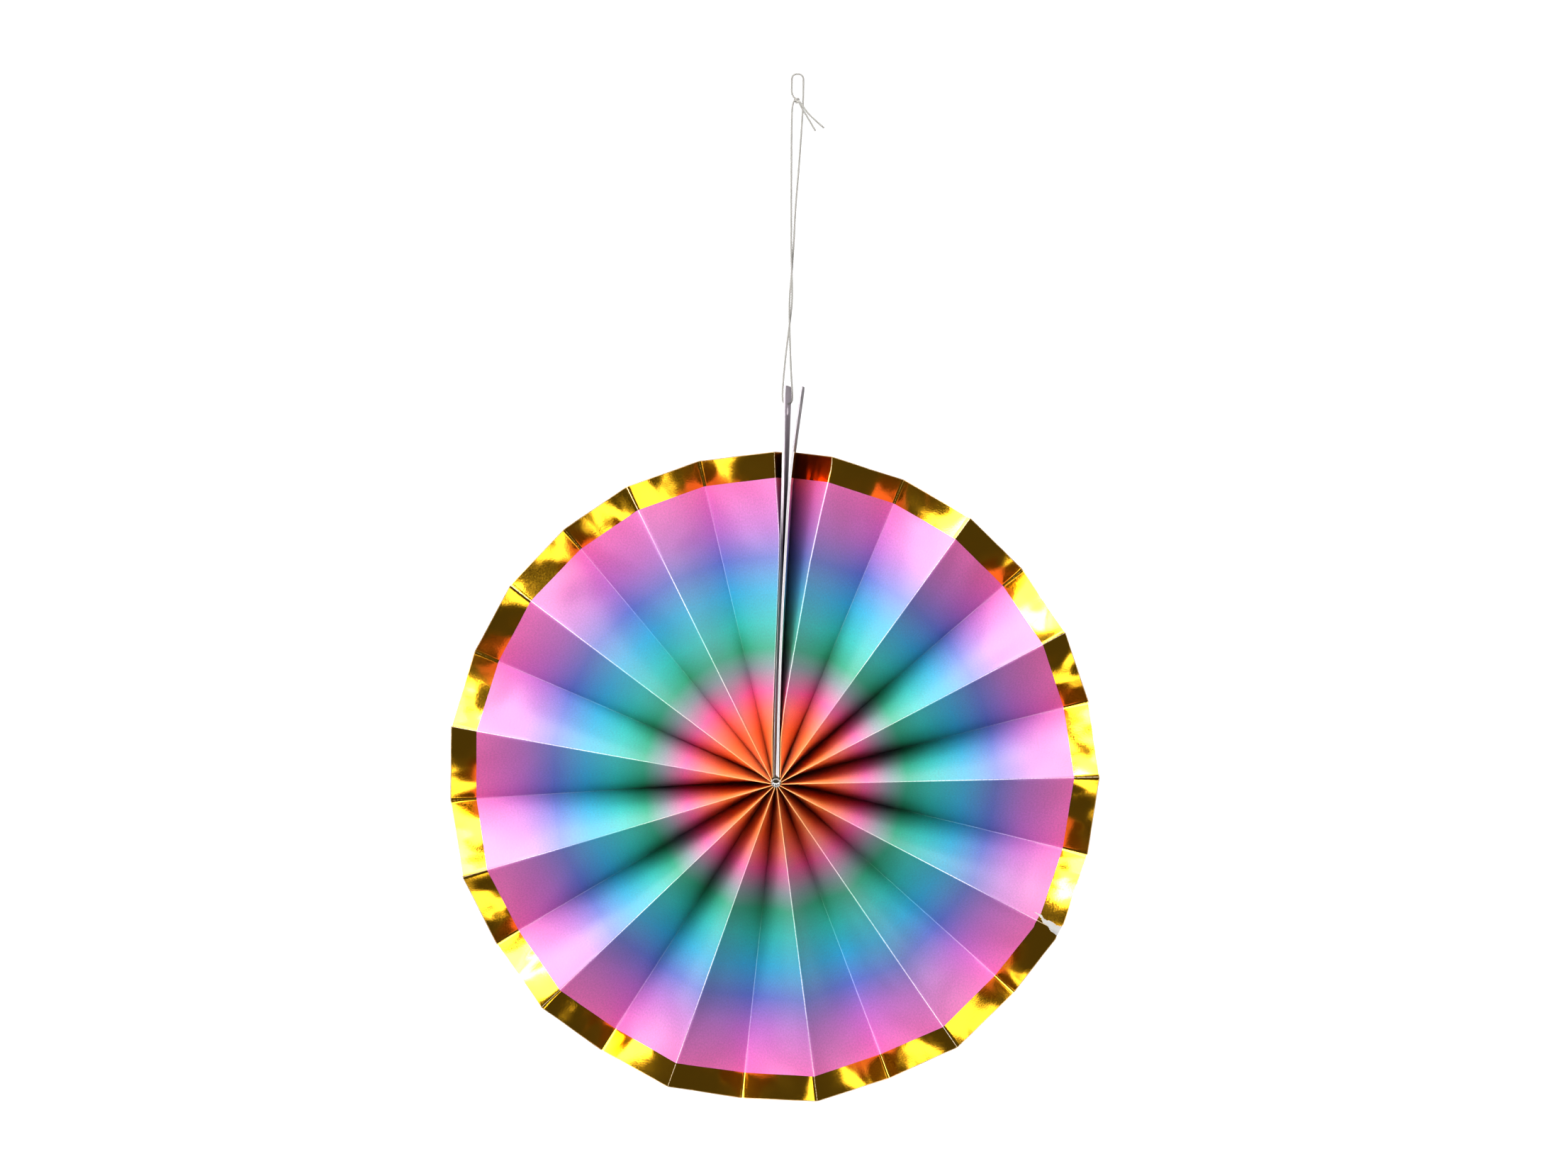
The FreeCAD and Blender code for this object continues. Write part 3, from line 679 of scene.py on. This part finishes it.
def place_on_folds_tree():
    """A place on the flat panels between the fold lines, by how far across and along it lies."""
    tree = new_tree("place on the folds", {"Across": 0.0, "Along": 0.0, "Panels": 30,
                                           "Stations": stations})
    tree.interface.remove(tree.interface.items_tree["Geometry"])
    tree.interface.new_socket("Place", in_out="OUTPUT", socket_type="NodeSocketVector")
    given = add_node(tree, "NodeGroupInput").outputs
    last = add_node(tree, "ShaderNodeMath", {0: given["Stations"], 1: 1.0}, operation="SUBTRACT")
    up = add_node(tree, "ShaderNodeMath", {0: given["Along"], 1: last}, operation="MULTIPLY")
    starts, rests = [], []
    for value, count in ((given["Across"], given["Panels"]), (up.outputs[0], last.outputs[0])):
        held = add_node(tree, "ShaderNodeClamp", {"Value": value, "Min": 0.0, "Max": count})
        down = add_node(tree, "ShaderNodeMath", {0: held}, operation="FLOOR")
        last_start = add_node(tree, "ShaderNodeMath", {0: count, 1: 1.0}, operation="SUBTRACT")
        starts.append(add_node(tree, "ShaderNodeMath", {0: down, 1: last_start}, operation="MINIMUM"))
        rests.append(add_node(tree, "ShaderNodeMath", {0: held, 1: starts[-1]}, operation="SUBTRACT"))
    first = add_node(tree, "ShaderNodeMath", {0: starts[0], 1: given["Stations"], 2: starts[1]},
                     operation="MULTIPLY_ADD")
    position = add_node(tree, "GeometryNodeInputPosition")
    corners = []
    for lines_on, stations_on in ((0, 0), (1, 0), (0, 1), (1, 1)):
        index = add_node(tree, "ShaderNodeMath", {0: given["Stations"], 1: float(lines_on),
                                                  2: first}, operation="MULTIPLY_ADD")
        exact = add_node(tree, "ShaderNodeMath", {0: index, 1: float(stations_on)}, operation="ADD")
        corners.append(add_node(tree, "GeometryNodeSampleIndex",
                                {"Geometry": given["Geometry"], "Value": position,
                                 "Index": exact}, data_type="FLOAT_VECTOR").outputs[0])
    rows = [add_node(tree, "ShaderNodeMix", {0: rests[0], 4: near, 5: far},
                     data_type="VECTOR").outputs[1] for near, far in (corners[:2], corners[2:])]
    found = add_node(tree, "ShaderNodeMix", {0: rests[1], 4: rows[0], 5: rows[1]}, data_type="VECTOR")
    add_node(tree, "NodeGroupOutput", {0: found.outputs[1]})
    return tree


def folded_sheet_tree():
    """The folded sheet: panels between the fold lines, soft folds, and the slight buckles of thin
    paper that has been folded by hand."""
    tree = new_tree("folded sheet", {
        "Panels": 30,
        "Stations": stations,
        "Columns in a panel": panel_columns,
        "Rows": sheet_rows,
        "Pleat width mm": pleat_width_mm,
        "Sheet width mm": sheet_width_mm,
        "Foil width mm": foil_width_mm,
        "Fold softness": fold_softness,
        "Buckle": buckle_mm * MM,
        "Torn line": 2 * torn_ridge,
        "Seed": 7,
        "Print": None,
        "Foil": None,
    })
    given = add_node(tree, "NodeGroupInput").outputs
    steps = add_node(tree, "ShaderNodeMath", {0: given["Panels"], 1: given["Columns in a panel"],
                                              2: 1.0}, operation="MULTIPLY_ADD")
    rows = add_node(tree, "ShaderNodeMath", {0: given["Rows"], 1: 1.0}, operation="ADD")
    grid = add_node(tree, "GeometryNodeMeshGrid", {"Size X": 1.0, "Size Y": 1.0,
                                                   "Vertices X": steps, "Vertices Y": rows})
    position = add_node(tree, "GeometryNodeInputPosition")
    flat = add_node(tree, "ShaderNodeSeparateXYZ", {0: position})
    half = add_node(tree, "ShaderNodeMath", {0: flat, 1: 0.5}, operation="ADD")
    even = add_node(tree, "ShaderNodeMath", {0: half, 1: given["Panels"]}, operation="MULTIPLY")
    # Columns crowd towards the folds, where the paper turns.
    wave = add_node(tree, "ShaderNodeMath", {0: even, 1: math.tau}, operation="MULTIPLY")
    sine = add_node(tree, "ShaderNodeMath", {0: wave}, operation="SINE")
    crowded = add_node(tree, "ShaderNodeMath", {0: sine, 1: -0.9 / math.tau,
                                                2: even}, operation="MULTIPLY_ADD")
    # Where each place lies on the sheet before it is folded: millimetres across, and in from the rim.
    across_mm = add_node(tree, "ShaderNodeMath", {0: crowded, 1: given["Pleat width mm"]},
                         operation="MULTIPLY")
    inwards = add_node(tree, "ShaderNodeMath", {0: 0.5, 1: flat.outputs[1]}, operation="SUBTRACT")
    from_rim = add_node(tree, "ShaderNodeMath", {0: inwards, 1: given["Sheet width mm"]},
                        operation="MULTIPLY")
    laid = add_node(tree, "ShaderNodeCombineXYZ", {0: across_mm, 1: from_rim})
    marked = add_node(tree, "GeometryNodeStoreNamedAttribute",
                      {"Geometry": grid, "Name": "laid_flat", "Value": laid},
                      data_type="FLOAT_VECTOR", domain="POINT")
    laid_out = add_node(tree, "GeometryNodeInputNamedAttribute", {"Name": "laid_flat"},
                        data_type="FLOAT_VECTOR")
    laid_parts = add_node(tree, "ShaderNodeSeparateXYZ", {0: laid_out})
    panels_on = add_node(tree, "ShaderNodeMath", {0: laid_parts,
                                                  1: given["Pleat width mm"]}, operation="DIVIDE")
    across = panels_on.outputs[0]
    in_share = add_node(tree, "ShaderNodeMath", {0: laid_parts.outputs[1],
                                                 1: given["Sheet width mm"]}, operation="DIVIDE")
    along = add_node(tree, "ShaderNodeMath", {0: 1.0, 1: in_share}, operation="SUBTRACT")
    # The worn ridge's corner at the rim is pushed in.
    from_torn = add_node(tree, "ShaderNodeMath", {0: across, 1: given["Torn line"]}, operation="SUBTRACT")
    near_torn = add_node(tree, "ShaderNodeMath", {0: from_torn}, operation="ABSOLUTE")
    pushed = add_node(tree, "ShaderNodeMapRange", {"Value": near_torn, "From Min": 0.02, "From Max": 0.11,
                       "To Min": 0.0055, "To Max": 0.0}, interpolation_type="SMOOTHSTEP")
    reach = add_node(tree, "ShaderNodeMath", {0: 1.0, 1: pushed}, operation="SUBTRACT")
    along_in = add_node(tree, "ShaderNodeMath", {0: along, 1: reach}, operation="MULTIPLY")
    folds = place_on_folds_tree()
    ends = []
    for side in (-1.0, 1.0):
        beside = add_node(tree, "ShaderNodeMath", {0: given["Fold softness"], 1: side, 2: across},
                          operation="MULTIPLY_ADD")
        ends.append(add_node(tree, "GeometryNodeGroup", {"Geometry": given["Geometry"], "Across": beside,
                              "Along": along_in, "Panels": given["Panels"],
                              "Stations": given["Stations"]}, node_tree=folds).outputs[0])
    soft = add_node(tree, "ShaderNodeMix", {0: 0.5, 4: ends[0], 5: ends[1]}, data_type="VECTOR")
    folded = add_node(tree, "GeometryNodeSetPosition", {"Geometry": marked, "Position": soft.outputs[1]})
    # A panel bows most in its middle and near the rim, where nothing holds it.
    to_fold = add_node(tree, "ShaderNodeMath", {0: across, 1: 0.5}, operation="PINGPONG")
    middle = add_node(tree, "ShaderNodeMapRange", {"Value": to_fold, "From Max": 0.45},
                      interpolation_type="SMOOTHSTEP")
    free = add_node(tree, "ShaderNodeMapRange", {"Value": along, "From Min": 0.25,
                                                 "From Max": 1.0, "To Min": 0.1, "To Max": 1.0})
    # Buckles lie slantwise, about 25 mm long and half as wide.
    slanted = add_node(tree, "ShaderNodeVectorRotate", {"Vector": laid_out,
                                                        "Angle": 0.6}, rotation_type="Z_AXIS")
    stretched = add_node(tree, "ShaderNodeVectorMath", {0: slanted,
                                                        1: (1 / 14, 1 / 26, 1.0)}, operation="MULTIPLY")
    noise = add_node(tree, "ShaderNodeTexNoise", {"Vector": stretched,
                                                  "W": given["Seed"], "Scale": 1.0, "Detail": 1.5},
                     noise_dimensions="4D")
    swing = add_node(tree, "ShaderNodeMath", {0: noise.outputs["Fac"], 1: 2.0, 2: -1.0},
                     operation="MULTIPLY_ADD")
    # The two end panels are glued flat on the cards, and the panels next to them are held by them.
    middle_panel = add_node(tree, "ShaderNodeMath", {0: given["Panels"], 1: 0.5}, operation="MULTIPLY")
    within = add_node(tree, "ShaderNodeMath", {0: across, 1: middle_panel}, operation="PINGPONG")
    loose = add_node(tree, "ShaderNodeMath", {0: within, 1: 2.0}, operation="GREATER_THAN")
    held = add_node(tree, "ShaderNodeMath", {0: free, 1: loose}, operation="MULTIPLY")
    amount = add_node(tree, "ShaderNodeMath", {0: middle, 1: held}, operation="MULTIPLY")
    sized = add_node(tree, "ShaderNodeMath", {0: amount, 1: given["Buckle"]}, operation="MULTIPLY")
    height = add_node(tree, "ShaderNodeMath", {0: sized, 1: swing}, operation="MULTIPLY")
    normal = add_node(tree, "GeometryNodeInputNormal")
    shift = add_node(tree, "ShaderNodeVectorMath", {0: normal, "Scale": height}, operation="SCALE")
    buckled = add_node(tree, "GeometryNodeSetPosition", {"Geometry": folded, "Offset": shift})
    smooth = add_node(tree, "GeometryNodeSetShadeSmooth", {"Geometry": buckled})
    real = add_node(tree, "GeometryNodeRealizeInstances", {"Geometry": smooth})
    printed = add_node(tree, "GeometryNodeSetMaterial", {"Geometry": real, "Material": given["Print"]})
    at_rim = add_node(tree, "FunctionNodeCompare", {0: laid_parts.outputs[1], 1: given["Foil width mm"]},
                      data_type="FLOAT", operation="LESS_THAN")
    stamped = add_node(tree, "GeometryNodeSetMaterial",
                       {"Geometry": printed, "Selection": at_rim, "Material": given["Foil"]})
    add_node(tree, "NodeGroupOutput", {0: stamped})
    return tree


def make_sheet():
    lines = fold_lines()
    mesh = bpy.data.meshes.new("fold_lines")
    mesh.from_pydata([tuple(place(at)) for line in lines for at in line], [], [])
    source = with_tree(new_object("fold_lines", mesh), folded_sheet_tree(), {
        "Panels": len(lines) - 1, "Print": print_face, "Foil": foil})
    face = made_real(source, "paper_face")
    face.data.materials.append(plain_paper)
    wall = face.modifiers.new("paper", "SOLIDIFY")
    wall.thickness = paper_thickness_mm * MM
    wall.offset = 0.0
    wall.material_offset = plain_shift
    wall.material_offset_rim = plain_shift
    sheet = made_real(face, "pleated_paper")
    sheet.data.set_sharp_from_angle(angle=math.radians(45))
    close_middle(sheet.data)
    return sheet


def close_middle(mesh):
    """Closes the back of the open middle with the gathered paper."""
    sides = 24
    plug = bpy.data.meshes.new("gathered_middle")
    plug.from_pydata([tuple(at) for at in ring_places(middle_radius_mm, middle_back_mm, sides)], [],
                     [list(range(sides))])
    whole = bmesh.new()
    whole.from_mesh(mesh)
    before = len(whole.faces)
    whole.from_mesh(plug)
    whole.faces.ensure_lookup_table()
    for added in whole.faces[before:]:
        added.material_index = middle_slot
    whole.to_mesh(mesh)
    whole.free()


pleated = make_sheet()
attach(pleated, "root")
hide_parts("pleated_disc")


# ---- Hub thread: a turn of cotton round the open middle ----
thread_ring_mm = 1.2
thread_radius_mm = 0.28
thread_knot_mm = 0.45
thread_ply_mm = 0.13
thread_twists = 5


def make_hub_thread():
    ring = ring_places(thread_ring_mm, thread_low.y / MM + thread_knot_mm + thread_radius_mm, 90)
    values = {"Strands": 2, "Strand radius": thread_ply_mm * MM, "Twist radius": thread_ply_mm * MM,
              "Turn length": math.tau * thread_ring_mm * MM / thread_twists, "Step": 0.1 * MM,
              "Sides": 6, "Material": cotton}
    return made_real(with_tree(line_object("hub_ring", ring, closed=True), strands, values),
                     "thread_at_hub")


hub_tie = make_hub_thread()
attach(hub_tie, "root")
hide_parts("hub_thread")


# ---- The imported model's own parts ----
# The left card's edge has the print's rings painted on it, darkened as painted shade.
painted_shade_board = painted_shade_edge_board(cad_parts["end_card_left"])
for name, finish in (("end_card_left", painted_shade_board), ("end_card_right", board),
                     ("card_adhesive", adhesive)):
    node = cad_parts[name]
    node.data.materials.clear()
    node.data.materials.append(finish)


# ---- Floor, world and lights ----
floor_radius, floor_height, floor_sides = 1.6, -0.62, 64


def make_floor():
    mesh = bpy.data.meshes.new("floor")
    turns = [math.tau * n / floor_sides for n in range(floor_sides)]
    rim = [(floor_radius * math.cos(turn), floor_radius * math.sin(turn), floor_height)
           for turn in turns]
    mesh.from_pydata(rim, [], [list(range(floor_sides))])
    floor = new_object("floor", mesh)
    material = new_material("pale_matt_floor")
    tree = material.node_tree
    shader = add_node(tree, "ShaderNodeBsdfPrincipled", {"Base Color": linear("f4f4f4"),
                                                         "Roughness": 0.9})
    # What looks at the floor straight on sees it paler than its light on the fan would make it.
    seen_by = add_node(tree, "ShaderNodeLightPath")
    glow = add_node(tree, "ShaderNodeEmission", {"Color": (1.0, 1.0, 1.0, 1.0), "Strength": 0.9})
    pale = add_node(tree, "ShaderNodeMath", {0: seen_by.outputs["Is Camera Ray"], 1: 0.7},
                    operation="MULTIPLY")
    both = add_node(tree, "ShaderNodeMixShader", {0: pale, 1: shader, 2: glow})
    add_node(tree, "ShaderNodeOutputMaterial", {"Surface": both})
    mesh.materials.append(material)
    floor.visible_glossy = False


make_floor()

world = bpy.data.worlds.new("studio")
world.use_nodes = True
world.node_tree.nodes.clear()
studio = world.node_tree
light_path = add_node(studio, "ShaderNodeLightPath")
# White behind the fan, and a nearly dark room for what it lights and for what shows in gloss.
seen, room, dim = (add_node(studio, "ShaderNodeBackground",
                            {"Color": (1.0, 1.0, 1.0, 1.0), "Strength": strength})
                   for strength in (1.0, 0.02, 0.08))
bounced = add_node(studio, "ShaderNodeMixShader", {0: light_path.outputs["Is Glossy Ray"],
                                                   1: room, 2: dim})
mixed = add_node(studio, "ShaderNodeMixShader", {0: light_path.outputs["Is Camera Ray"],
                                                 1: bounced, 2: seen})
add_node(studio, "ShaderNodeOutputWorld", {"Surface": mixed})
bpy.context.scene.world = world


def softbox(name, turn, tilt, distance_mm, size, power, lights=False):
    """A square softbox that faces the hub, turned clockwise from above it and tilted away from
    the line to the camera, both in degrees. It shows in gloss, and lights only where it is told to."""
    light = bpy.data.lights.new(name, "AREA")
    light.shape = "SQUARE"
    light.size = size
    light.energy = power
    made = new_object(name, light)
    aside, off = math.radians(turn), math.radians(tilt)
    made.location = place((distance_mm * math.sin(aside) * math.sin(off),
                           -distance_mm * math.cos(off),
                           distance_mm * math.cos(aside) * math.sin(off)))
    made.rotation_mode = "QUATERNION"
    made.rotation_quaternion = (hub - made.location).to_track_quat("-Z", "Y")
    made.visible_diffuse = lights
    made.visible_camera = False
    return made


# The key lights the paper and shows in its gloss; the panels show in the foil and the gloss.
softbox("key_light", -24, 41, 1600, 1.0, 32, lights=True)
softbox("upper_left_panel", -45, 66, 1500, 0.9, 14)
softbox("upper_panel", 5, 64, 1500, 0.7, 9)
softbox("upper_left_hot", -38, 72, 1500, 0.4, 12)
softbox("upper_hot", 12, 74, 1500, 0.35, 10)
softbox("right_panel", 62, 66, 1500, 0.7, 3.5)
softbox("lower_panel", 165, 64, 1500, 0.5, 2.2)
softbox("left_panel", -120, 66, 1500, 0.5, 2.2)
# The back has its own soft light.
softbox("back_light", 25, 140, 1700, 1.3, 15, lights=True)
softbox("back_fill", -100, 128, 1900, 1.0, 4, lights=True)

scene = bpy.context.scene
scene.view_settings.view_transform = "Standard"
scene.view_settings.look = "Medium High Contrast"
